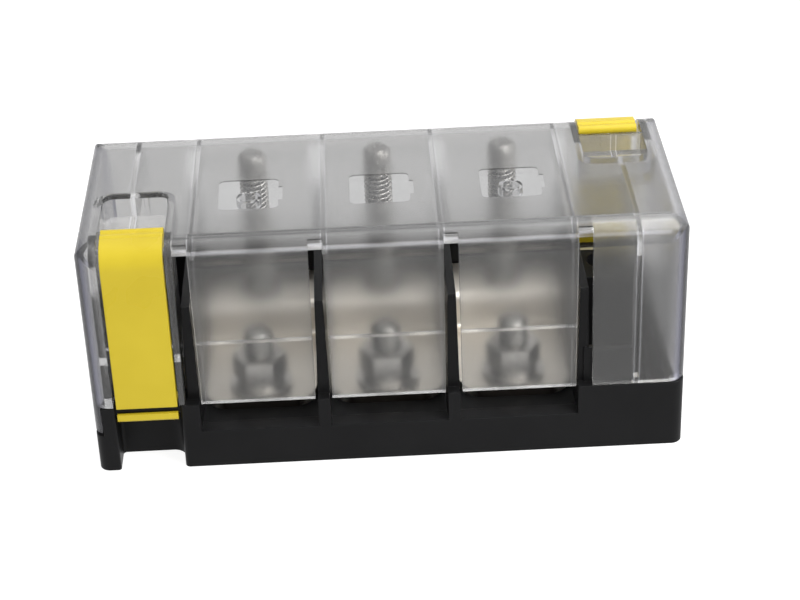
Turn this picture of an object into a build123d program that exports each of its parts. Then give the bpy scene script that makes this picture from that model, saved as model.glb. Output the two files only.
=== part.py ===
"""Three-way fuse block for a boat or a vehicle: a black moulded base, a clear lift-off cover held by two
yellow latches, and three circuits, each with a stepped plate, a tall fuse stud and a short terminal stud.

Millimetres. X runs along the row of circuits, the front is -Y, up is +Z. The origin is the middle of the
surface that the block stands on. The moulding is the same when it is turned half a turn about Z, apart
from the bays, so the front left latch and the rear right latch are twins.
"""

import os

from build123d import *

# Overall form
LENGTH = 157.4
DEPTH = 68.0
HEIGHT = 67.8
HALF_L = LENGTH / 2
HALF_D = DEPTH / 2

# Row of bays
PITCH = 34.5
BAYS = (-PITCH, 0.0, PITCH)
DIVIDERS = (-1.5 * PITCH, -0.5 * PITCH, 0.5 * PITCH, 1.5 * PITCH)
DIVIDER_T = 3.2
DIVIDER_TOP_T = 2.2
DIVIDER_TOP = 48.0
DIVIDER_BACK = 3.2
BAY_W = PITCH - DIVIDER_T

# Base
BASE_LENGTH = 156.9
CORNER_R = 3.0
SKIRT_TOP = 19.6
SILL_TOP = 11.1
SILL_DEPTH = 4.8
FLOOR_TOP = 10.0
SEAT_TOP = 20.0
UPSTAND_TOP = 30.0
UPSTAND_T = 1.6
UPSTAND_END = 64.4
REAR_INSIDE = HALF_D - 4.2
END_FLOOR = 3.0
END_WALL_INSIDE = 73.4
WALL = 2.4
LAP_GAP = 0.3
BAR_ROOT = 1.0
SEAT_BEND_R = 1.6

# Latch pockets in the base, front left as drawn
POCKET_X0 = -72.6
POCKET_X1 = -55.4
POCKET_DEPTH = 8.3
POCKET_INNER_R = 3.6
POCKET_BACK_R = 1.0
POCKET_MOUTH_R = 1.4
LEG_R = 0.8

# Hinge bar and latch
BAR_R = 1.9
BAR_Y = -HALF_D + 3.1
BAR_Z = 17.9
LATCH_X0 = -72.1
LATCH_X1 = -56.0
LATCH_T = 2.2
LATCH_FACE = -HALF_D + 0.2
LATCH_TOP = 67.3
LATCH_END = -HALF_D + 11.7
LATCH_BEND = 6.2
RIDGE_R = 1.3
RIDGE_PITCH = 2.7
RIDGE_PROUD = 0.4
TOOTH_Y = -HALF_D + 7.8
TOOTH_BOTTOM = 63.4
CLIP_R = 3.7
CLIP_GAP = 0.07
MOUTH_LOW = 17.4
MOUTH_HIGH = 19.3

# Cover
COVER_WALL = 2.2
COVER_BOTTOM = 19.9
BEND_R = 6.0
REAR_BEND_R = 10.0
END_R = 4.5
COVER_CORNER_R = 5.0
FLAP_TOP = 64.7
REAR_FLAP_TOP = 57.2
SLOT_TOP = 66.8
SLOT_W_TOP = 3.8
SLOT_W_BOTTOM = 4.8
SLOT_BACK = 2.6
SCORE_Z = 38.7
SCORE_W = 0.8
APRON_BOTTOM = 11.3
APRON_END = 22.0
BEAD_Y = HALF_D - 5.9
BEAD_R = 0.9
BEAD_PROUD = 0.25
BEAD_FROM_WAY = 6.0

# Latch way through the cover, front left as drawn
WAY_POST_END = -26.0
WAY_DECK_GAP = 0.4
WAY_X0 = -72.9
WAY_X1 = -55.5
WAY_DEPTH = 12.0
WAY_WALL_LEFT = 2.0
WAY_WALL_RIGHT = 1.6
RISER_T = 1.0
RISER_TOP = 66.0
RISER_RIB_X = -62.7
RISER_RIB_W = 1.5
RISER_RIB_PROUD = 0.25
TROUGH_END = -4.2
TROUGH_FLOOR = 61.0
TROUGH_FLOOR_T = 2.0
TROUGH_CORNER = 3.0
TROUGH_SWELL_R = 4.5

# Ribs under the cover top
RIB_XS = (-49.0, -15.0, 15.0, 49.0)
RIB_T = 1.3
RIB_DROP = 5.5
END_RIB_X = 65.5
END_RIB_DROP = 9.0

# Clear windows in the frosted top
WINDOW_Y = -7.6
WINDOW_W = 15.8
WINDOW_D = 16.2
WINDOW_R = 1.6
WINDOW_SINK = 0.2
TAB_W = 1.1
TAB_D = 7.4
RING_R = 3.3
RING_WALL = 0.9
RING_DROP = 2.2

# Studs, plates and hardware (5/16 inch studs)
STUD_R = 3.95
STUD_GAP = 0.05
HEAD_FLATS = 12.7
HEAD_H = 5.0
FUSE_STUD_Y = 21.0
FUSE_STUD_TOP = 64.0
FUSE_HEAD_TOP = 12.0
TERMINAL_Y = -13.5
TERMINAL_TOP = 29.9
TERMINAL_HEAD_TOP = 6.6
PLATE_T = 2.5
PLATE_W = 30.4
PLATE_FRONT = -22.3
PLATE_RISE = 11.4
PLATE_REAR = 29.4
PLATE_BEND = 1.2
PLATE_BEND_OUTER = 2.2
PLATE_NOSE_R = 7.0
COLLAR_R = 5.3
COLLAR_HOLE_R = 5.6
WASHER_R = 8.5
WASHER_T = 1.6
LOCK_R = 6.5
LOCK_T = 2.0
LOCK_SPLIT = 0.9
LOCK_SPLIT_LEAN = 25
NUT_FLATS = 12.7
NUT_H = 6.7
NUT_GAP = 0.02
HOLE_R = 4.15

# Fixing wells, one in a raised deck behind each latch pocket, front left as drawn
FIXING_X = -62.3
FIXING_Y = -14.3
FIXING_R = 2.6
FIXING_SEAT = 6.0
WELL_R = 4.5
DECK_TOP = 30.0
DECK_X0 = -73.0
DECK_Y1 = -5.0
DECK_CORNER = 2.0

# Underside
CORE_TOP = 7.4
CORE_WALL = 2.6
CORE_Y0 = -4.0
CORE_Y1 = 11.5
POCKET_EASE = 0.12

LOWER_RUN_TOP = FLOOR_TOP + PLATE_T
UPPER_RUN_TOP = SEAT_TOP + PLATE_T
COLLAR_TOP = UPPER_RUN_TOP + 0.3


def block(x0, x1, y0, y1, z0, z1):
    """A plain box between three pairs of limits."""
    size = Box(x1 - x0, y1 - y0, z1 - z0)
    return Pos((x0 + x1) / 2, (y0 + y1) / 2, (z0 + z1) / 2) * size


def post(x, y, r, z0, z1):
    """An upright round bar."""
    return Pos(x, y, (z0 + z1) / 2) * Cylinder(r, z1 - z0)


def turned(shape):
    """The same shape half a turn round the block."""
    return Rot(0, 0, 180) * shape


def both(shape):
    """A shape and its twin at the opposite corner."""
    return shape + turned(shape)


def hexagon(x, y, flats, z0, z1):
    """A hexagonal prism with two flats square to Y."""
    return extrude(Pos(x, y, z0) * RegularPolygon(flats / 2, 6, major_radius=False), z1 - z0)


def near(shapes, x, y, reach=0.6):
    """Those of the vertices or upright edges that stand within reach of a place in plan."""
    centres = [(s, s.center()) for s in shapes]
    return [s for s, c in centres if abs(c.X - x) < reach and abs(c.Y - y) < reach]


def base_outline():
    """Plan of the base: a rounded rectangle with a latch pocket in two opposite corners."""
    plan = RectangleRounded(BASE_LENGTH, DEPTH, CORNER_R)
    width = POCKET_X1 - POCKET_X0
    centre_x = (POCKET_X0 + POCKET_X1) / 2
    pocket = Pos(centre_x, -HALF_D) * Rectangle(width, 2 * POCKET_DEPTH)
    pocket = fillet(near(pocket.vertices(), POCKET_X1, -HALF_D + POCKET_DEPTH), POCKET_INNER_R)
    pocket = fillet(near(pocket.vertices(), POCKET_X0, -HALF_D + POCKET_DEPTH), POCKET_BACK_R)
    plan -= pocket + turned(pocket)
    for sign in (1, -1):
        plan = fillet(near(plan.vertices(), sign * POCKET_X1, -sign * HALF_D), POCKET_MOUTH_R)
        plan = fillet(near(plan.vertices(), sign * POCKET_X0, -sign * HALF_D), LEG_R)
    return plan


def end_room():
    """Space inside the right end of the base, round the latch pocket."""
    pocket_back = HALF_D - POCKET_DEPTH - WALL
    x0 = DIVIDERS[3] + DIVIDER_T / 2
    return block(x0, END_WALL_INSIDE, -HALF_D + WALL, pocket_back, END_FLOOR, HEIGHT)


def fixing_deck():
    """Raised deck behind the front left latch pocket, which a fixing screw goes down through."""
    outer = DIVIDERS[0] - DIVIDER_T / 2
    back = -HALF_D + POCKET_DEPTH
    deck = block(DECK_X0, outer + 1, back, DECK_Y1, END_FLOOR - 1, DECK_TOP)
    return fillet(near(deck.edges().filter_by(Axis.Z), DECK_X0, DECK_Y1), DECK_CORNER)


def fixing_well():
    """Stepped hole of a fixing screw: a wide well down to the screw's seat and a narrow hole through it."""
    wide = post(FIXING_X, FIXING_Y, WELL_R, FIXING_SEAT, DECK_TOP + 1)
    return wide + post(FIXING_X, FIXING_Y, FIXING_R, -1, FIXING_SEAT + 1)


def divider(x):
    """Upright wall beside a bay, with the draft of the mould: it thins towards its top."""
    low = DIVIDER_T / 2
    high = DIVIDER_TOP_T / 2
    outline = Polyline(
        (x - low, FLOOR_TOP),
        (x + low, FLOOR_TOP),
        (x + low, SKIRT_TOP),
        (x + high, DIVIDER_TOP),
        (x - high, DIVIDER_TOP),
        (x - low, SKIRT_TOP),
        close=True,
    )
    return extrude(make_face(Plane.XZ * outline), amount=HALF_D - DIVIDER_BACK, both=True)


def end_upstand():
    """Run-on of the rear upstand in the rear left end compartment, on a thickened part of the skirt."""
    wall = block(-UPSTAND_END, DIVIDERS[0], REAR_INSIDE, REAR_INSIDE + UPSTAND_T, SKIRT_TOP - 1, UPSTAND_TOP)
    foot = block(-UPSTAND_END, DIVIDERS[0], REAR_INSIDE, HALF_D - 1, END_FLOOR - 1, SKIRT_TOP)
    return wall + foot


def bay_core(x):
    """Hollow between the two stud heads of one bay that lightens the moulding, open below."""
    half = BAY_W / 2 - CORE_WALL
    return block(x - half, x + half, CORE_Y0, CORE_Y1, -1, CORE_TOP)


def build_base():
    """The black moulding: skirt, bays with their dividers, end compartments and the two hinge bars."""
    base = extrude(base_outline(), SKIRT_TOP)

    for x in BAYS:
        x0 = x - BAY_W / 2
        x1 = x + BAY_W / 2
        base -= block(x0, x1, -HALF_D - 1, REAR_INSIDE, SILL_TOP, HEIGHT)
        base -= block(x0, x1, -HALF_D + SILL_DEPTH, REAR_INSIDE, FLOOR_TOP, HEIGHT)
        seat = block(x0, x1, PLATE_RISE + PLATE_T, REAR_INSIDE, 0, SEAT_TOP)
        front_edge = seat.edges().filter_by(Axis.X).group_by(Axis.Z)[-1].sort_by(Axis.Y)[0]
        base += fillet(front_edge, SEAT_BEND_R)
    for room in (end_room(), turned(end_room())):
        base -= room

    for x in DIVIDERS:
        base += divider(x)
    base += both(end_upstand())
    base += block(DIVIDERS[0], DIVIDERS[3], REAR_INSIDE, REAR_INSIDE + UPSTAND_T, SEAT_TOP - 1, UPSTAND_TOP)

    lap_x = -HALF_L + COVER_WALL + LAP_GAP
    lap_y = APRON_END + LAP_GAP
    base -= both(block(-HALF_L - 1, lap_x, -HALF_D - 1, lap_y, APRON_BOTTOM - LAP_GAP, HEIGHT))

    bar = Cylinder(BAR_R, POCKET_X1 - POCKET_X0 + 2 * BAR_ROOT)
    bar = Pos((POCKET_X0 + POCKET_X1) / 2, BAR_Y, BAR_Z) * Rot(0, 90, 0) * bar
    base += both(fixing_deck())
    base -= both(fixing_well())
    base += both(bar)

    for x in BAYS:
        base -= bay_core(x)
        base -= hexagon(x, TERMINAL_Y, HEAD_FLATS + 2 * POCKET_EASE, -1, TERMINAL_HEAD_TOP)
        base -= hexagon(x, FUSE_STUD_Y, HEAD_FLATS + 2 * POCKET_EASE, -1, FUSE_HEAD_TOP)
        base += post(x, FUSE_STUD_Y, COLLAR_R, SEAT_TOP - 1, COLLAR_TOP)
        base -= post(x, TERMINAL_Y, STUD_R + STUD_GAP, 0, HEIGHT)
        base -= post(x, FUSE_STUD_Y, STUD_R + STUD_GAP, 0, HEIGHT)

    return base


def cover_form(shrink, bottom):
    """Outer form of the cover, or its inside when it is shrunk by the wall."""
    height = HEIGHT - shrink - bottom
    length = LENGTH - 2 * shrink
    depth = DEPTH - 2 * shrink
    along = Pos(0, 0, bottom) * Box(length, depth, height, align=(Align.CENTER, Align.CENTER, Align.MIN))
    top = along.faces().sort_by(Axis.Z)[-1]
    along = fillet(top.edges().filter_by(Axis.X).sort_by(Axis.Y)[0], BEND_R - shrink)
    top = along.faces().sort_by(Axis.Z)[-1]
    along = fillet(top.edges().filter_by(Axis.X).sort_by(Axis.Y)[-1], REAR_BEND_R - shrink)
    across = Pos(0, 0, bottom) * Box(length, depth, height, align=(Align.CENTER, Align.CENTER, Align.MIN))
    top = across.faces().sort_by(Axis.Z)[-1]
    across = fillet(top.edges().filter_by(Axis.Y), END_R - shrink)
    upright = Pos(0, 0, bottom) * Box(length, depth, height, align=(Align.CENTER, Align.CENTER, Align.MIN))
    upright = fillet(upright.edges().filter_by(Axis.Z), COVER_CORNER_R - shrink)
    return along & across & upright


def front_slots():
    """The tapered gaps in the front wall that set the three break-off flaps free."""
    gaps = []
    for x in DIVIDERS:
        low = SLOT_W_BOTTOM / 2
        high = SLOT_W_TOP / 2
        outline = Polyline(
            (x - low, 0),
            (x + low, 0),
            (x + high, SLOT_TOP),
            (x - high, SLOT_TOP),
            close=True,
        )
        face = make_face(Plane.XZ * outline)
        gap = extrude(face, amount=HALF_D + 5, both=True)
        gap &= block(-HALF_L, HALF_L, -HALF_D - 3, -HALF_D + SLOT_BACK, 0, SLOT_TOP)
        gaps.append(gap)
    return gaps


def score(x, y, z):
    """V groove across a flap, where its lower part or the whole flap snaps off."""
    return Pos(x, y, z) * Rot(45, 0, 0) * Box(PITCH - SLOT_W_TOP, SCORE_W, SCORE_W)


def latch_way():
    """Walls of the open way in which the front left latch stands, with the finger trough behind it."""
    x0 = WAY_X0 - WAY_WALL_LEFT
    x1 = WAY_X1 + WAY_WALL_RIGHT
    way_end = -HALF_D + WAY_DEPTH
    posts = block(x0, x1, -HALF_D, WAY_POST_END, COVER_BOTTOM, HEIGHT)
    tall = block(x0, x1, -HALF_D, way_end + COVER_WALL, DECK_TOP + WAY_DECK_GAP, HEIGHT)
    low_z = TROUGH_FLOOR - TROUGH_FLOOR_T
    trough = block(x0, x1, way_end, TROUGH_END + COVER_WALL, low_z, HEIGHT)
    rear_edges = trough.edges().filter_by(Axis.Z).group_by(Axis.Y)[-1]
    trough = fillet(rear_edges, TROUGH_SWELL_R)
    return posts + tall + trough


def latch_way_void():
    """Space of the same way and trough, open to the front and above."""
    way_end = -HALF_D + WAY_DEPTH
    way = block(WAY_X0, WAY_X1, -HALF_D - 1, way_end, 0, HEIGHT + 1)
    over_riser = block(WAY_X0, WAY_X1, way_end - 1, way_end + RISER_T + 1, RISER_TOP, HEIGHT + 1)
    trough = block(WAY_X0, WAY_X1, way_end + RISER_T, TROUGH_END, TROUGH_FLOOR, HEIGHT + 1)
    rear_edges = trough.edges().filter_by(Axis.Z).group_by(Axis.Y)[-1]
    trough = fillet(rear_edges, TROUGH_CORNER)
    riser_face = way_end + RISER_T
    rib_x0 = RISER_RIB_X - RISER_RIB_W / 2
    rib = block(rib_x0, rib_x0 + RISER_RIB_W, way_end, riser_face + RISER_RIB_PROUD, 0, RISER_TOP)
    return way + over_riser + (trough - rib)


def window_shape(x):
    """Shallow sink with the outline of a window: a rounded rectangle with a small tab at its right."""
    pane = RectangleRounded(WINDOW_W, WINDOW_D, WINDOW_R)
    tab = Pos(WINDOW_W / 2, 0) * Rectangle(2 * TAB_W, TAB_D)
    return extrude(Pos(x, WINDOW_Y, HEIGHT - WINDOW_SINK) * (pane + tab), 1.0)


def build_cover():
    """The clear moulding that lifts off, with its flaps, ribs, windows and the ways for the latches."""
    outer = cover_form(0.0, APRON_BOTTOM)
    inner = cover_form(COVER_WALL, APRON_BOTTOM - 5.0)
    kept = block(-HALF_L, HALF_L, -HALF_D, HALF_D, COVER_BOTTOM, HEIGHT)
    kept += both(block(-HALF_L, -HALF_L + COVER_WALL, -HALF_D, APRON_END, APRON_BOTTOM, COVER_BOTTOM))
    cover = (outer - inner) & kept

    under_top = HEIGHT - COVER_WALL
    rib_reach = HALF_D - BEND_R
    rib_foot = under_top - RIB_DROP
    for x in RIB_XS:
        cover += block(x - RIB_T / 2, x + RIB_T / 2, -rib_reach, rib_reach, rib_foot, under_top + 1)
    x0 = END_RIB_X - RIB_T / 2
    x1 = END_RIB_X + RIB_T / 2
    end_rib = block(x0, x1, -HALF_D + 1, -rib_reach, COVER_BOTTOM + 1, under_top + 1)
    rib_end = HALF_D - WAY_DEPTH - COVER_WALL
    end_rib += block(x0, x1, -rib_reach - 1, rib_end, under_top - END_RIB_DROP, under_top + 1)
    cover += both(end_rib) & outer

    cover += both(latch_way()) & outer
    cover -= both(latch_way_void())

    bead_x0 = WAY_X1 + BEAD_FROM_WAY
    bead_x1 = HALF_L - END_R
    bead_z = HEIGHT - BEAD_R + BEAD_PROUD
    bead = Pos((bead_x0 + bead_x1) / 2, -BEAD_Y, bead_z) * Rot(0, 90, 0) * Cylinder(BEAD_R, bead_x1 - bead_x0)
    cover += bead - block(-HALF_L, HALF_L, -HALF_D, 0, 0, HEIGHT - 1)

    for gap in front_slots():
        cover -= gap
        cover -= turned(gap)
    for x in BAYS:
        cover -= score(x, -HALF_D, SCORE_Z)
        cover -= score(x, -HALF_D, FLAP_TOP)
        cover -= score(x, HALF_D, SCORE_Z)
        cover -= score(x, HALF_D, REAR_FLAP_TOP)

    for x in BAYS:
        cover -= window_shape(x)
    for x in (BAYS[0], BAYS[2]):
        ring = post(x, WINDOW_Y, RING_R, under_top - RING_DROP, under_top + 0.5)
        cover += ring - post(x, WINDOW_Y, RING_R - RING_WALL, 0, under_top)
    return cover


def latch_profile():
    """Side view of the front latch: clip on the hinge bar, strip, bend, finger ridges and tooth."""
    strip_foot = BAR_Z + 1.0
    inner_bend = LATCH_BEND - LATCH_T
    back = LATCH_FACE + LATCH_T
    under = LATCH_TOP - LATCH_T
    bend_y = LATCH_FACE + LATCH_BEND
    bend_z = LATCH_TOP - LATCH_BEND
    nose_y = LATCH_END - RIDGE_R
    half = 0.7071
    edge = [
        Line((LATCH_FACE, strip_foot), (LATCH_FACE, bend_z)),
        ThreePointArc(
            (LATCH_FACE, bend_z),
            (bend_y - half * LATCH_BEND, bend_z + half * LATCH_BEND),
            (bend_y, LATCH_TOP),
        ),
        Line((bend_y, LATCH_TOP), (nose_y, LATCH_TOP)),
        Line((nose_y, LATCH_TOP), (nose_y, under)),
        Line((nose_y, under), (bend_y, under)),
        ThreePointArc(
            (bend_y, under),
            (bend_y - half * inner_bend, bend_z + half * inner_bend),
            (back, bend_z),
        ),
        Line((back, bend_z), (back, strip_foot)),
        Line((back, strip_foot), (LATCH_FACE, strip_foot)),
    ]
    side = make_face(Wire(edge))
    ridge_z = LATCH_TOP - RIDGE_R + RIDGE_PROUD
    for ridge_y in (nose_y, nose_y - RIDGE_PITCH):
        side += Pos(ridge_y, ridge_z) * Circle(RIDGE_R)
    tooth = Polyline(
        (nose_y + half * RIDGE_R, ridge_z - half * RIDGE_R),
        (TOOTH_Y + LATCH_T / 2, TOOTH_BOTTOM),
        (TOOTH_Y, TOOTH_BOTTOM),
        (TOOTH_Y - LATCH_T / 4, under + LATCH_T / 2),
        (nose_y, ridge_z),
        close=True,
    )
    side += make_face(tooth)
    clip = Pos(BAR_Y, BAR_Z) * Circle(CLIP_R)
    clip -= Pos(LATCH_FACE - 5, BAR_Z) * Rectangle(10, 4 * CLIP_R)
    side += clip
    side -= Pos(BAR_Y, BAR_Z) * Circle(BAR_R + CLIP_GAP)
    mouth_z = (MOUTH_LOW + MOUTH_HIGH) / 2
    side -= Pos(BAR_Y - 5, mouth_z) * Rectangle(10, MOUTH_HIGH - MOUTH_LOW)
    return side


def build_latch():
    """The front left latch: one side view carried across its width."""
    plane = Plane(origin=(LATCH_X0, 0, 0), x_dir=(0, 1, 0), z_dir=(1, 0, 0))
    width = LATCH_X1 - LATCH_X0
    return extrude(plane * latch_profile(), width)


def build_plate(x):
    """Stepped plate of one circuit, bent from strip: terminal end low in front, fuse seat high behind."""
    low = FLOOR_TOP
    high = SEAT_TOP
    rise = PLATE_RISE
    side = Polyline(
        (PLATE_FRONT, low),
        (rise + PLATE_T, low),
        (rise + PLATE_T, high),
        (PLATE_REAR, high),
        (PLATE_REAR, high + PLATE_T),
        (rise, high + PLATE_T),
        (rise, low + PLATE_T),
        (PLATE_FRONT, low + PLATE_T),
        close=True,
    )
    side = make_face(side)
    inner = near(side.vertices(), rise, low + PLATE_T) + near(side.vertices(), rise + PLATE_T, high)
    side = fillet(inner, PLATE_BEND)
    outer = near(side.vertices(), rise, high + PLATE_T) + near(side.vertices(), rise + PLATE_T, low)
    side = fillet(outer, PLATE_BEND_OUTER)
    plane = Plane(origin=(x - PLATE_W / 2, 0, 0), x_dir=(0, 1, 0), z_dir=(1, 0, 0))
    plate = extrude(plane * side, PLATE_W)
    nose = plate.edges().filter_by(Axis.Z).group_by(Axis.Y)[0]
    plate = fillet(nose, PLATE_NOSE_R)
    plate -= post(x, TERMINAL_Y, HOLE_R, 0, HEIGHT)
    plate -= post(x, FUSE_STUD_Y, COLLAR_HOLE_R, 0, HEIGHT)
    return plate


def build_stud(x, y, head_top, top):
    """Stud with a hexagon head that sits in a pocket of the base; the thread itself is left plain."""
    return post(x, y, STUD_R, head_top - 1, top) + hexagon(x, y, HEAD_FLATS, head_top - HEAD_H, head_top)


def build_flat_washer(x):
    """Plain washer on the terminal end of the plate."""
    z0 = LOWER_RUN_TOP
    return post(x, TERMINAL_Y, WASHER_R, z0, z0 + WASHER_T) - post(x, TERMINAL_Y, HOLE_R, 0, HEIGHT)


def build_lock_washer(x):
    """Split spring washer, with the cut turned to the back."""
    z0 = LOWER_RUN_TOP + WASHER_T
    ring = post(x, TERMINAL_Y, LOCK_R, z0, z0 + LOCK_T) - post(x, TERMINAL_Y, HOLE_R, 0, HEIGHT)
    split = Rot(0, LOCK_SPLIT_LEAN, 0) * Box(LOCK_SPLIT, 2 * LOCK_R, 4 * LOCK_T)
    return ring - Pos(x, TERMINAL_Y + LOCK_R, z0 + LOCK_T / 2) * split


def build_nut(x):
    """Hexagon nut, without its chamfer and thread."""
    z0 = LOWER_RUN_TOP + WASHER_T + LOCK_T
    nut = hexagon(x, TERMINAL_Y, NUT_FLATS, z0, z0 + NUT_H)
    return nut - post(x, TERMINAL_Y, STUD_R + NUT_GAP, 0, HEIGHT)


def save(name, shape):
    """Write one sub-part as its own file."""
    export_step(shape, f"parts/{name}.step")


def main():
    os.makedirs("parts", exist_ok=True)
    save("base", build_base())
    save("cover", build_cover())
    latch = build_latch()
    save("latch_front", latch)
    save("latch_rear", turned(latch))
    for number, x in enumerate(BAYS, start=1):
        save(f"circuit_plate_{number}", build_plate(x))
        save(f"fuse_stud_{number}", build_stud(x, FUSE_STUD_Y, FUSE_HEAD_TOP, FUSE_STUD_TOP))
        save(f"terminal_stud_{number}", build_stud(x, TERMINAL_Y, TERMINAL_HEAD_TOP, TERMINAL_TOP))
        save(f"flat_washer_{number}", build_flat_washer(x))
        save(f"lock_washer_{number}", build_lock_washer(x))
        save(f"terminal_nut_{number}", build_nut(x))


main()
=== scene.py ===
# Three-way fuse block: black moulded base, clear frosted cover, two yellow latches, stepped plates, studs.
# Lengths are in metres, with X along the row of circuits, the front at -Y and the foot at Z 0.
import math

import bpy
import numpy as np
from mathutils import Matrix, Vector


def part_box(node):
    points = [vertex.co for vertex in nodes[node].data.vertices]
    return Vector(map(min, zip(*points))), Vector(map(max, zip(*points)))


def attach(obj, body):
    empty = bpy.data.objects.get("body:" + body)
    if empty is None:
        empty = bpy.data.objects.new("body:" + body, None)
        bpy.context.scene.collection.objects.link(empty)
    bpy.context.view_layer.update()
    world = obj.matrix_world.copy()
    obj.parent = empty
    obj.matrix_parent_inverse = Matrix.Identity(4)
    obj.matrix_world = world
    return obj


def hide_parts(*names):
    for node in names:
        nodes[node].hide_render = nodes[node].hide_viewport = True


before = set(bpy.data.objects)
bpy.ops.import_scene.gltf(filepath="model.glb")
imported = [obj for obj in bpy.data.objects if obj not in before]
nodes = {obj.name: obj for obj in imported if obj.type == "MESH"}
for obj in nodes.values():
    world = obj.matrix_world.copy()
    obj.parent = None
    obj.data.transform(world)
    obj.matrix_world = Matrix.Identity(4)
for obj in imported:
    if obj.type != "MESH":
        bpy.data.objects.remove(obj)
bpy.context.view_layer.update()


# Camera. It stands in front of the block and looks down on it by 31 degrees, a little rolled, at the
# place that was fitted to the edges of the cover, base and latches.
PHOTO_WIDTH = 800
FOCAL_LENGTH = 2069.05  # in pixels of the photograph
SENSOR_WIDTH = 36.0
CAMERA_PLACE = (-0.005539, -0.489869, 0.322711)


def stand(thing, across, upward, backward, place):
    """Puts a camera or a lamp in the scene, with the directions of its own X, Y and Z, and its place."""
    pose = np.eye(4)
    pose[:3] = np.column_stack([across, upward, backward, place])
    thing.matrix_world = Matrix(pose.tolist())
    bpy.context.scene.collection.objects.link(thing)


pitch, yaw, roll = math.radians(30.974), math.radians(1.171), math.radians(-2.138)
forward = np.array([math.sin(yaw) * math.cos(pitch), math.cos(yaw) * math.cos(pitch), -math.sin(pitch)])
level = np.array([math.cos(yaw), -math.sin(yaw), 0.0])
upright = np.cross(level, forward)
camera_data = bpy.data.cameras.new("photo_camera")
camera_data.sensor_width = SENSOR_WIDTH
camera_data.lens = FOCAL_LENGTH / PHOTO_WIDTH * SENSOR_WIDTH
camera_data.clip_start = 0.01
camera_data.clip_end = 20.0
camera = bpy.data.objects.new("photo_camera", camera_data)
stand(camera, math.cos(roll) * level + math.sin(roll) * upright,
      math.cos(roll) * upright - math.sin(roll) * level, -forward, CAMERA_PLACE)
bpy.context.scene.camera = camera
bpy.context.scene.view_settings.view_transform = "Standard"


# Studio. A white sweep under and round the block, one large soft lamp overhead and a smaller one above
# the front right. Gloss and clear plastic see a room that is darker at the left, with a bright soft box
# above the right. Rays of sight see plain white, and the floor keeps a faint shadow.
WHITE = (1.0, 1.0, 1.0)
FLOOR_REACH = 3.0
FLOOR_DROP = 0.0002


def bare_tree(owner):
    """Gives a world or a material its nodes and takes the usual ones out."""
    owner.use_nodes = True
    owner.node_tree.nodes.clear()
    return owner.node_tree


def feed(tree, node, inputs):
    """Sets a node's inputs, by name or number: sockets are linked, and a colour is three numbers."""
    for name, value in inputs.items():
        socket = node.inputs[name]
        if isinstance(value, bpy.types.NodeSocket):
            tree.links.new(value, socket)
        elif socket.type == "RGBA":
            socket.default_value = (*value, 1.0)
        else:
            socket.default_value = value


def join(tree, node_type, inputs=None, **settings):
    """Adds a node with its settings and its inputs."""
    node = tree.nodes.new(node_type)
    for name, value in settings.items():
        setattr(node, name, value)
    feed(tree, node, inputs or {})
    return node


def maths(tree, operation, *values):
    """The result of a sum on up to three numbers or sockets."""
    return join(tree, "ShaderNodeMath", dict(enumerate(values)), operation=operation).outputs[0]


def axes(tree, coordinates):
    """The X, Y and Z of a kind of texture coordinates."""
    vector = join(tree, "ShaderNodeTexCoord").outputs[coordinates]
    return tuple(join(tree, "ShaderNodeSeparateXYZ", {0: vector}).outputs)


def ramp(tree, value, source, target=(0.0, 1.0), shape="SMOOTHSTEP"):
    """A value carried over the target range while the one it is read from goes over the source range."""
    return join(tree, "ShaderNodeMapRange", {"Value": value, "From Min": source[0], "From Max": source[1],
                                             "To Min": target[0], "To Max": target[1]},
                interpolation_type=shape).outputs[0]


def by_ray(tree, falling, reflected, seen):
    """Mixes three shaders: one for the light that falls on things, one for rays that were reflected or
    went through clear plastic, and one for rays of sight."""
    path = join(tree, "ShaderNodeLightPath").outputs
    bent = maths(tree, "MAXIMUM", path["Is Glossy Ray"], path["Is Transmission Ray"])
    unseen = join(tree, "ShaderNodeMixShader", {0: bent, 1: falling.outputs[0], 2: reflected.outputs[0]})
    return join(tree, "ShaderNodeMixShader", {0: path["Is Camera Ray"], 1: unseen.outputs[0],
                                              2: seen.outputs[0]}).outputs[0]


sky = bpy.data.worlds.new("studio")
tree = bare_tree(sky)
x, _, z = axes(tree, "Generated")
left_wall = ramp(tree, x, (-0.85, -0.35), (0.35, 1.0))
right_wall = ramp(tree, x, (0.15, 0.60), (0.0, 0.7))
walls = maths(tree, "ADD", left_wall, right_wall)
box_height = ramp(tree, z, (0.60, 0.85))
box_strength = ramp(tree, x, (-0.05, 0.30), (0.35, 6.0))
room = maths(tree, "MULTIPLY_ADD", box_height, box_strength, walls)
soft_light = join(tree, "ShaderNodeBackground", {"Color": (0.88, 0.88, 0.89), "Strength": 0.80})
mirrored = join(tree, "ShaderNodeBackground", {"Color": (0.98, 0.985, 1.0), "Strength": room})
backdrop = join(tree, "ShaderNodeBackground", {"Color": WHITE, "Strength": 1.0})
join(tree, "ShaderNodeOutputWorld", {"Surface": by_ray(tree, soft_light, mirrored, backdrop)})
bpy.context.scene.world = sky


def soft_lamp(name, place, aim, size, power):
    """A square area lamp at a place, turned to a point."""
    data = bpy.data.lights.new(name, "AREA")
    data.shape = "SQUARE"
    data.size = size
    data.energy = power
    backward = np.array(place, float) - np.array(aim, float)
    backward /= np.linalg.norm(backward)
    across = np.cross((0.0, 1.0, 0.2), backward)
    across /= np.linalg.norm(across)
    stand(bpy.data.objects.new(name, data), across, np.cross(backward, across), backward, place)


soft_lamp("overhead_lamp", place=(0.25, 0.10, 1.10), aim=(0, 0, 0.04), size=0.9, power=3.0)
soft_lamp("front_lamp", place=(0.34, -0.26, 0.48), aim=(0.05, 0, 0.04), size=0.26, power=2.6)

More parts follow.
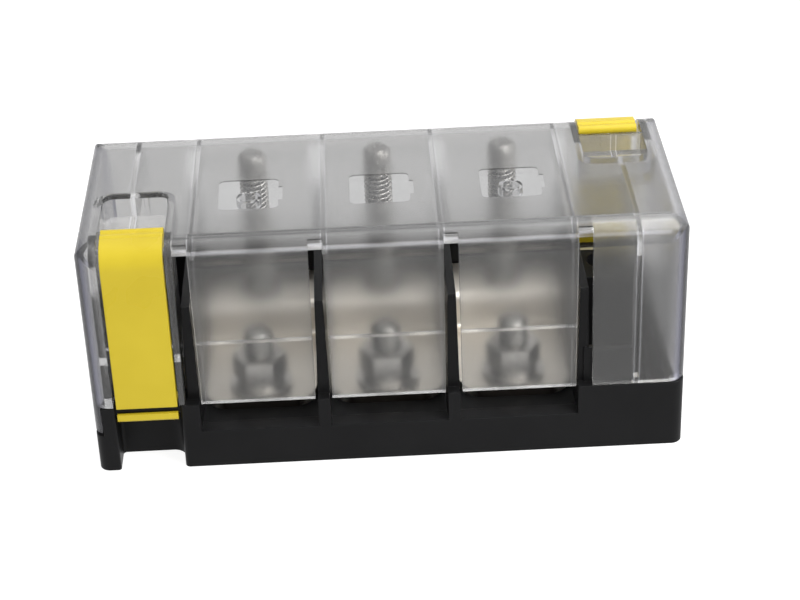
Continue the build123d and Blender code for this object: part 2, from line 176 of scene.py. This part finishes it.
floor_mesh = bpy.data.meshes.new("floor")
corners = FLOOR_REACH * np.array([(-1, -1), (1, -1), (1, 1), (-1, 1)])
floor_mesh.from_pydata([(*corner_shade, -FLOOR_DROP) for corner_shade in corners.tolist()], [], [(0, 1, 2, 3)])
floor = bpy.data.objects.new("floor", floor_mesh)
bpy.context.scene.collection.objects.link(floor)
white_sweep = bpy.data.materials.new("white_sweep")
tree = bare_tree(white_sweep)
matte = join(tree, "ShaderNodeBsdfDiffuse", {"Color": (0.82, 0.82, 0.82)})
x, _, _ = axes(tree, "Object")
mirrored = join(tree, "ShaderNodeEmission", {"Color": (0.99, 0.99, 1.0),
                                             "Strength": ramp(tree, x, (-0.45, -0.10), (0.35, 1.0))})
glow = join(tree, "ShaderNodeEmission", {"Color": WHITE, "Strength": 0.88})
shadow_keeper = join(tree, "ShaderNodeBsdfDiffuse", {"Color": (0.36, 0.36, 0.36)})
paper = join(tree, "ShaderNodeAddShader", {0: glow.outputs[0], 1: shadow_keeper.outputs[0]})
join(tree, "ShaderNodeOutputMaterial", {"Surface": by_ray(tree, matte, mirrored, paper)})
floor_mesh.materials.append(white_sweep)


# Base. One black glass-filled moulding with a fine satin grain: skirt, bays, dividers, latch pockets with
# their hinge bars, raised decks and stud collars. Its edges are rounded by the mould.
NOISE_RANGE = (0.3, 0.7)  # nearly all values of a noise lie in it


def new_finish(name):
    """An empty material with an output, its tree and its Principled node."""
    material = bpy.data.materials.new(name)
    tree = bare_tree(material)
    shader = join(tree, "ShaderNodeBsdfPrincipled")
    join(tree, "ShaderNodeOutputMaterial", {"Surface": shader.outputs[0]})
    return material, tree, shader


def object_noise(tree, scale, detail=2.0, roughness=0.5, stretch=(1, 1, 1)):
    """Noise on the piece's own coordinates, with scale in features a metre."""
    here = join(tree, "ShaderNodeTexCoord").outputs["Object"]
    mapped = join(tree, "ShaderNodeMapping", {"Vector": here, "Scale": stretch})
    return join(tree, "ShaderNodeTexNoise", {"Vector": mapped.outputs[0], "Scale": scale,
                                             "Detail": detail, "Roughness": roughness}).outputs["Fac"]


def spread(tree, value, target=(0.0, 1.0), source=NOISE_RANGE):
    """A value carried evenly over the target range, read from a noise unless another range is given."""
    return ramp(tree, value, source, target, "LINEAR")


def two_tones(tree, factor, first, second):
    """A colour that goes from the first to the second as the factor goes from 0 to 1."""
    return join(tree, "ShaderNodeMix", {0: factor, 6: first, 7: second}, data_type="RGBA").outputs[2]


def rounded_edge(tree, radius):
    """The directions of a surface whose edges are shaded as if rounded by a radius."""
    return join(tree, "ShaderNodeBevel", {"Radius": radius}, samples=4).outputs[0]


def relief(tree, height, strength, depth, edge=None):
    """The directions of a surface with a pattern's height on it, as deep as it says at full strength, and
    with its edges rounded if a radius is given."""
    inputs = {"Height": height, "Strength": strength, "Distance": depth}
    if edge:
        inputs["Normal"] = rounded_edge(tree, edge)
    return join(tree, "ShaderNodeBump", inputs).outputs[0]


def moulded_plastic(name, dark, light, clouds, grain, roughness, shine, edge, strength, depth):
    """An opaque moulding: two close tones in soft clouds, which also vary its roughness, and a fine grain
    raised by its strength and depth. Grain is its scale and detail."""
    material, tree, shader = new_finish(name)
    cloud = object_noise(tree, clouds)
    feed(tree, shader, {"Base Color": two_tones(tree, spread(tree, cloud), dark, light),
                        "Roughness": spread(tree, cloud, roughness), "Specular IOR Level": shine,
                        "Normal": relief(tree, object_noise(tree, *grain), strength, depth, edge)})
    return material


def finish_node(node, *materials):
    """Puts finishes on a CAD node's own mesh."""
    mesh = nodes[node].data
    mesh.materials.clear()
    for material in materials:
        mesh.materials.append(material)


black_plastic = moulded_plastic(
    "black_moulding", dark=(0.0070, 0.0070, 0.0074), light=(0.0092, 0.0092, 0.0096), clouds=55,
    grain=(2600, 3), roughness=(0.34, 0.46), shine=0.12, edge=0.0004, strength=0.12, depth=0.00006)
finish_node("base", black_plastic)


# Stepped plates. Copper strip, stamped, bent and tin plated: satin, warm grey, with faint lines along the
# strip and slightly duller patches. Their front end is painted near black, a painted shade where it lies
# under the flaps.
SHADED_FRONT_Y = (-0.0221, -0.0211)

tinned, tree, shader = new_finish("tinned_plate")
rolled = object_noise(tree, 900, 3, 0.6, stretch=(1, 0.06, 0.06))
dull = object_noise(tree, 160, 3)
tin = two_tones(tree, spread(tree, dull), (0.70, 0.65, 0.57), (0.80, 0.76, 0.69))
_, y, _ = axes(tree, "Object")
# Painted shade: the front end of each plate turns near black, for the shadow under the flaps.
shaded_front_end = ramp(tree, y, SHADED_FRONT_Y, (1.0, 0.0))
feed(tree, shader, {"Base Color": two_tones(tree, shaded_front_end, tin, (0.08, 0.07, 0.06)), "Metallic": 1.0,
                    "Roughness": spread(tree, dull, (0.30, 0.44)),
                    "Normal": relief(tree, rolled, 0.10, 0.00003, edge=0.0003)})
for number in (1, 2, 3):
    finish_node(f"circuit_plate_{number}", tinned)


# Studs. Stainless steel, 5/16 inch with 18 threads an inch, rolled, with a chamfered tip. A shoulder sits
# in the moulding and a hexagon head in a pocket of the underside.
STUD_R = 0.00395
THREAD_PITCH = 0.0254 / 18
THREAD_DEPTH = 0.00085
THREAD_FLAT = 0.12  # width of the flat crest, and of the flat root, in turns
THREAD_FADE = 1.2  # turns over which the thread deepens from its lower end
THREAD_ROWS = 10  # rows of points a turn
TIP_CHAMFER = 0.0009
THREAD_LOW = {"fuse_stud": 0.0230, "terminal_stud": 0.0110}
ROD_OVERLAP = 0.0004  # how far the rod goes down into the shoulder
SHOULDER_OVERLAP = 0.0005  # how far the shoulder goes down into the head
SHOULDER_CHAMFER = 0.0002
HEAD_HEIGHT = 0.005
HEAD_HALF_FLATS = 0.00635
HEAD_HALF_FOOT = 0.0057
HEAD_CHAMFER = 0.0005
ROUND_POINTS = 40
HEXAGON_POINTS = 48
CRISP_ANGLE = math.radians(35)


def thread_height(turns):
    """How far the thread stands in from its crest, from 0 to 1, for a place given in turns along the
    axis: a flat crest and a flat root, with half a cosine wave between them."""
    from_crest = np.abs((turns % 1.0) - 0.5) * 2.0
    flank = np.clip((from_crest - THREAD_FLAT) / (1.0 - 2.0 * THREAD_FLAT), 0, 1)
    return 0.5 - 0.5 * np.cos(flank * math.pi)


def ring_stack(points, rows, around):
    """A closed stack of rings, from the lowest up, with a fan to the middle of each end: its points, and
    its faces as an array of quads and two of triangles."""
    ring = np.arange(around)
    following = (ring + 1) % around
    row = np.arange(rows - 1)[:, None] * around
    below, after = (row + ring).ravel(), (row + following).ravel()
    last = (rows - 1) * around
    side = np.stack([below, after, after + around, below + around], -1)
    bottom = np.stack([following, ring, np.full(around, rows * around)], -1)
    cap = np.stack([last + ring, last + following, np.full(around, rows * around + 1)], -1)
    middles = [points[:around].mean(0), points[-around:].mean(0)]
    return np.concatenate([points, middles]), (side, bottom, cap)


def threaded_rod(x, y, low, high):
    """A rod whose radius, at each height and angle, is the crest radius less the thread's height there,
    and no more than a 45 degree cone at its tip."""
    rows = int(round((high - low) / THREAD_PITCH * THREAD_ROWS))
    z = np.linspace(low, high, rows + 1)[:, None]
    angle = np.linspace(0, 2 * math.pi, ROUND_POINTS, endpoint=False)[None, :]
    depth = THREAD_DEPTH * thread_height((z - low) / THREAD_PITCH - angle / (2 * math.pi))
    fade = np.clip((z - low) / (THREAD_FADE * THREAD_PITCH), 0, 1)
    radius = np.minimum(STUD_R - depth * fade, STUD_R - TIP_CHAMFER + (high - z))
    points = np.stack([x + radius * np.cos(angle), y + radius * np.sin(angle),
                       np.broadcast_to(z, radius.shape)], -1)
    return ring_stack(points.reshape(-1, 3), rows + 1, ROUND_POINTS)


def turned_form(x, y, profile, around=ROUND_POINTS, flats=None):
    """A stack of rings from pairs of radius and height, round, or with a number of flat sides, where the
    radius is the distance from the axis to a flat."""
    angle = np.linspace(0, 2 * math.pi, around, endpoint=False)[None, :]
    profile = np.array(profile, float)
    shape = np.ones_like(angle)
    if flats:
        shape = 1.0 / np.cos((angle + math.pi / 2) % (2 * math.pi / flats) - math.pi / flats)
    radius = profile[:, :1] * shape
    z = np.broadcast_to(profile[:, 1:2], radius.shape)
    points = np.stack([x + radius * np.cos(angle), y + radius * np.sin(angle), z], -1)
    return ring_stack(points.reshape(-1, 3), len(profile), around)


def one_mesh(name, stacks):
    """A smooth mesh object made of several stacks of rings, with its sharper edges kept crisp."""
    points, faces, start = [], [], 0
    for stack_points, stack_faces in stacks:
        points.append(stack_points)
        for kind in stack_faces:
            faces += (kind + start).tolist()
        start += len(stack_points)
    mesh = bpy.data.meshes.new(name)
    mesh.from_pydata(np.concatenate(points).tolist(), [], faces)
    mesh.update()
    mesh.shade_smooth()
    mesh.set_sharp_from_angle(angle=CRISP_ANGLE)
    piece = bpy.data.objects.new(name, mesh)
    bpy.context.scene.collection.objects.link(piece)
    return piece


def steel_finish(name, dark, light, smears, grain, roughness, edge=None):
    """Stainless steel: two close tones in smears, and a fine grain that varies its roughness."""
    material, tree, shader = new_finish(name)
    smear = object_noise(tree, smears)
    feed(tree, shader, {"Base Color": two_tones(tree, spread(tree, smear), dark, light), "Metallic": 1.0,
                        "Roughness": spread(tree, object_noise(tree, grain, 3), roughness)})
    if edge:
        feed(tree, shader, {"Normal": rounded_edge(tree, edge)})
    return material


stud_steel = steel_finish("stainless_stud", dark=(0.31, 0.30, 0.28), light=(0.42, 0.41, 0.39),
                          smears=260, grain=1400, roughness=(0.20, 0.34))
for kind, thread_low in THREAD_LOW.items():
    for number in (1, 2, 3):
        node = f"{kind}_{number}"
        low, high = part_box(node)
        x, y = (low.x + high.x) / 2, (low.y + high.y) / 2
        head_top = low.z + HEAD_HEIGHT
        rod = threaded_rod(x, y, thread_low - ROD_OVERLAP, high.z)
        shoulder = turned_form(x, y, [(STUD_R, head_top - SHOULDER_OVERLAP),
                                      (STUD_R, thread_low - SHOULDER_CHAMFER),
                                      (STUD_R - SHOULDER_CHAMFER, thread_low)])
        head = turned_form(x, y, [(HEAD_HALF_FOOT, low.z), (HEAD_HALF_FLATS, low.z + HEAD_CHAMFER),
                                  (HEAD_HALF_FLATS, head_top)], HEXAGON_POINTS, flats=6)
        stud = one_mesh(node + "_threaded", [rod, shoulder, head])
        stud.data.materials.append(stud_steel)
        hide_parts(node)
        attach(stud, "base")


# Washers and nuts. Stainless, stamped and turned: flat washer, split spring washer and a chamfered
# hexagon nut on each terminal stud, tightened down.
hardware_steel = steel_finish("stainless_hardware", dark=(0.50, 0.48, 0.45), light=(0.62, 0.60, 0.57),
                              smears=300, grain=1100, roughness=(0.24, 0.38), edge=0.00025)
for number in (1, 2, 3):
    for kind in ("flat_washer", "lock_washer", "terminal_nut"):
        finish_node(f"{kind}_{number}", hardware_steel)


# Latches. Each is one bright yellow moulding, a strip with a clip at its foot that snaps on the hinge bar
# and a hooked, ridged end over the cover.
yellow_plastic = moulded_plastic(
    "yellow_moulding", dark=(0.59, 0.452, 0.020), light=(0.63, 0.487, 0.026), clouds=70, grain=(3000, 2),
    roughness=(0.26, 0.32), shine=0.28, edge=0.00035, strength=0.06, depth=0.00005)
finish_node("latch_front", yellow_plastic)
finish_node("latch_rear", yellow_plastic)


# Cover. One clear moulding: its outside is frosted by the mould, its windows and the frames of the
# latches are polished, and its inner faces are smooth. Highlights are painted along its ribs and the
# root of the flaps, the finger troughs are milky, and painted shade darkens the top, its thick front
# edge and the end corners.
# "Out" is the distance from the middle along X, and "latchwards" the way along Y to the latch of that end.
CLEAR_IOR = 1.50
FRAME_OUT = (0.0539, 0.0752)
FRAME_LATCHWARDS = 0.0260
TROUGH_OUT = (0.0550, 0.0735)
TROUGH_LATCHWARDS = (0.0040, 0.0224)
TROUGH_BELOW = 0.0668
BAYS_X = (-0.0535, 0.0535)
FRONT_X = (-0.0535, 0.0735)  # the bays, and the front panel to the right of them
FRONT_Y, FRONT_SOFT = -0.02825, 0.00125
UNDER_ROOT_Z = (0.0615, 0.0644)  # the root is where the flaps begin, below the rounded front edge
ROOT_LINE_Z = (0.0645, 0.0653)
OVER_ROOT_Z = (0.0651, 0.0657)
TOP_Z = (0.0668, 0.0677)
END_OUT = (0.0750, 0.0770)
END_CORNER_Y = (0.0245, 0.0285)
END_RIB, OUTER_RIB, INNER_RIB = 0.0655, 0.0490, 0.0150
RIB_SIDE = (0.00060, 0.00085)  # a rib's side shows as a line this far from its middle
BAY_PITCH = 0.0345
WINDOW_ACROSS = (-0.24, 0.27)  # in bays, from a bay's middle
WINDOW_Y = (-0.0160, 0.0008)
WINDOW_ABOVE = 0.0628


def beyond(tree, value, limit, soft=0.0002):
    """A factor that goes from 0 to 1 where the value passes a limit."""
    return spread(tree, value, (0, 1), (limit - soft, limit + soft))


def short_of(tree, value, limit, soft=0.0002):
    """A factor that goes from 1 to 0 where the value passes a limit."""
    return spread(tree, value, (1, 0), (limit - soft, limit + soft))


def times(tree, first, second):
    """The product of two factors."""
    return maths(tree, "MULTIPLY", first, second)


def between(tree, value, limits, soft=0.0002):
    """A factor of 1 where the value lies between two limits, and 0 outside them."""
    return times(tree, beyond(tree, value, limits[0], soft), short_of(tree, value, limits[1], soft))


def lets_lamps_through(tree, shader, tint):
    """Keeps the clear plastic for rays that see it, and lets the light that falls on what is behind it
    pass tinted."""
    surface = shader.outputs[0].links[0].to_socket
    path = join(tree, "ShaderNodeLightPath").outputs
    lamp_ray = maths(tree, "MAXIMUM", path["Is Shadow Ray"], path["Is Diffuse Ray"])
    passing = join(tree, "ShaderNodeBsdfTransparent", {"Color": tint})
    mixed = join(tree, "ShaderNodeMixShader", {0: lamp_ray, 1: shader.outputs[0], 2: passing.outputs[0]})
    tree.links.new(mixed.outputs[0], surface)


frosted, tree, shader = new_finish("clear_moulding")
speckle = object_noise(tree, 2800, 2, 0.6)
patches = object_noise(tree, 120)
x, y, z = axes(tree, "Object")
which_end = maths(tree, "SIGN", x)
outwards = times(tree, x, which_end)
latchwards = times(tree, y, which_end)
from_axis = maths(tree, "ABSOLUTE", y)
front = short_of(tree, y, FRONT_Y, FRONT_SOFT)

# The latch frames are smoother than the frost.
in_frame = times(tree, between(tree, outwards, FRAME_OUT), beyond(tree, latchwards, FRAME_LATCHWARDS))
satin = spread(tree, patches, (0.21, 0.25))
roughness = join(tree, "ShaderNodeMix", {0: in_frame, 2: satin, 3: 0.10}, data_type="FLOAT").outputs[0]

# Painted shade: the thick rounded front edge over the bays is painted near black, and a band just under
# the root of the flaps a little; the top is painted darker, and the end corners a dark bluish grey.
over_bays = times(tree, between(tree, x, BAYS_X), front)
under_root = between(tree, z, UNDER_ROOT_Z, 0.0006)
front_edge_shade = times(tree, over_bays, maths(tree, "MULTIPLY_ADD", under_root, 0.35, ramp(tree, z, OVER_ROOT_Z)))
top = times(tree, ramp(tree, z, TOP_Z), 0.45)
corner_shade = times(tree, ramp(tree, outwards, END_OUT), ramp(tree, from_axis, END_CORNER_Y, (0.5, 1.0)))
colour = two_tones(tree, spread(tree, speckle), (0.68, 0.675, 0.66), (0.78, 0.775, 0.76))
# Painted shade: near black over the rounded front edge above the bays.
colour = two_tones(tree, front_edge_shade, colour, (0.10, 0.098, 0.095))
# Painted shade: the top is painted darker grey.
colour = two_tones(tree, top, colour, (0.25, 0.25, 0.25))
# Painted shade: the end corners are painted a dark bluish grey.
colour = two_tones(tree, corner_shade, colour, (0.16, 0.16, 0.21))

# Painted highlights: bright lines at the root of the flaps and on both sides of each rib.
on_front = times(tree, between(tree, x, FRONT_X), front)
painted_highlights = times(tree, times(tree, on_front, between(tree, z, ROOT_LINE_Z)), 0.85)
end_rib_light = ramp(tree, z, (0.0650, 0.0670), (1.0, 0.35))
for rib, light in ((END_RIB, end_rib_light), (OUTER_RIB, 0.45), (INNER_RIB, 0.45)):
    off_rib = maths(tree, "ABSOLUTE", maths(tree, "SUBTRACT", outwards, rib))
    painted_highlights = maths(tree, "MULTIPLY_ADD", between(tree, off_rib, RIB_SIDE, 0.0001), light, painted_highlights)
# The painted highlights are near-white lines in the colour.
colour = two_tones(tree, painted_highlights, colour, (0.90, 0.90, 0.94))

# Milky places, which let less through: the finger troughs, and a little along the bright lines.
in_trough = times(tree, between(tree, latchwards, TROUGH_LATCHWARDS), short_of(tree, z, TROUGH_BELOW))
in_trough = times(tree, in_trough, between(tree, outwards, TROUGH_OUT))
milky = maths(tree, "MULTIPLY_ADD", painted_highlights, 0.18, times(tree, in_trough, 0.27))
# Where the front edge carries painted shade, its shine is lowered too.
feed(tree, shader, {"Base Color": colour, "Roughness": roughness, "IOR": CLEAR_IOR,
                    "Specular IOR Level": spread(tree, front_edge_shade, (0.5, 0.36), (0, 1)),
                    "Transmission Weight": maths(tree, "SUBTRACT", 0.965, milky),
                    "Normal": relief(tree, speckle, 0.3, 0.00008)})
lets_lamps_through(tree, shader, (0.80, 0.80, 0.79))

# The polished finish is clearest in the windows of the top.
polished, tree, shader = new_finish("clear_moulding_polished")
x, y, z = axes(tree, "Object")
bays = maths(tree, "DIVIDE", x, BAY_PITCH)
across_bay = maths(tree, "SUBTRACT", bays, maths(tree, "ROUND", bays))
in_window = times(tree, between(tree, across_bay, WINDOW_ACROSS, 0.005), between(tree, y, WINDOW_Y))
in_window = times(tree, in_window, beyond(tree, z, WINDOW_ABOVE))
feed(tree, shader, {"Base Color": (0.75, 0.75, 0.75), "Transmission Weight": 1.0, "IOR": CLEAR_IOR,
                    "Roughness": spread(tree, in_window, (0.11, 0.0), (0, 1))})
lets_lamps_through(tree, shader, (0.93, 0.93, 0.93))


def on_outside(centre, normal):
    """Whether each face, given its middle and its outward direction, lies on the outer form of the cover:
    on one of its flat sides, or on a rounded edge, where the distance from the edge's axis is its radius."""
    out, y, z = np.abs(centre[:, 0]), centre[:, 1], centre[:, 2]
    top = (normal[:, 2] > 0.6) & (z > 0.0677)
    front_or_rear = (np.abs(normal[:, 1]) > 0.6) & (np.abs(y) > 0.0337) & (normal[:, 1] * y > 0)
    end = (np.abs(normal[:, 0]) > 0.6) & (out > 0.0784)
    front_bend = (-0.0280 - y, z - 0.0618, 0.006)
    rear_bend = (y - 0.0240, z - 0.0578, 0.010)
    end_bend = (out - 0.0742, z - 0.0633, 0.0045)
    upright_corner = (out - 0.0737, np.abs(y) - 0.0290, 0.005)
    outer = top | front_or_rear | end
    for first_way, second_way, radius in (front_bend, rear_bend, end_bend, upright_corner):
        on_arc = np.abs(np.hypot(first_way, second_way) - radius) < 0.00015
        outer |= on_arc & (first_way > -0.0001) & (second_way > -0.0001)
    return outer


def within(values, low, high):
    """Whether each value lies between two limits."""
    return (values > low) & (values < high)


# The outside is frosted, and so are the floors and risers of the troughs, the feet of the posts over the
# decks, and what lies in the front and rear walls, such as the sides of the slots.
finish_node("cover", frosted, polished)
faces = nodes["cover"].data.polygons
centre, normal = np.empty(len(faces) * 3), np.empty(len(faces) * 3)
faces.foreach_get("center", centre)
faces.foreach_get("normal", normal)
centre, normal = centre.reshape(-1, 3), normal.reshape(-1, 3)
x, y, z = centre.T
out, away, facing_up, facing_out = np.abs(x), np.abs(y), normal[:, 2], normal[:, 1] * y
over_trough = within(out, 0.0554, 0.0732) & within(y * np.sign(x), 0.0035, 0.0212)
trough = over_trough & (facing_up > 0.05) & (z > 0.0605)
riser = within(away, 0.0207, 0.0213) & (np.abs(normal[:, 1]) > 0.9) & (z > 0.060)
post_foot = within(z, 0.0300, 0.0308) & (facing_up < -0.9)
in_wall = (away > 0.0313) & (z < 0.0672) & (facing_out > -0.01)
is_frosted = on_outside(centre, normal) | trough | riser | post_foot | in_wall
faces.foreach_set("material_index", np.where(is_frosted, 0, 1))
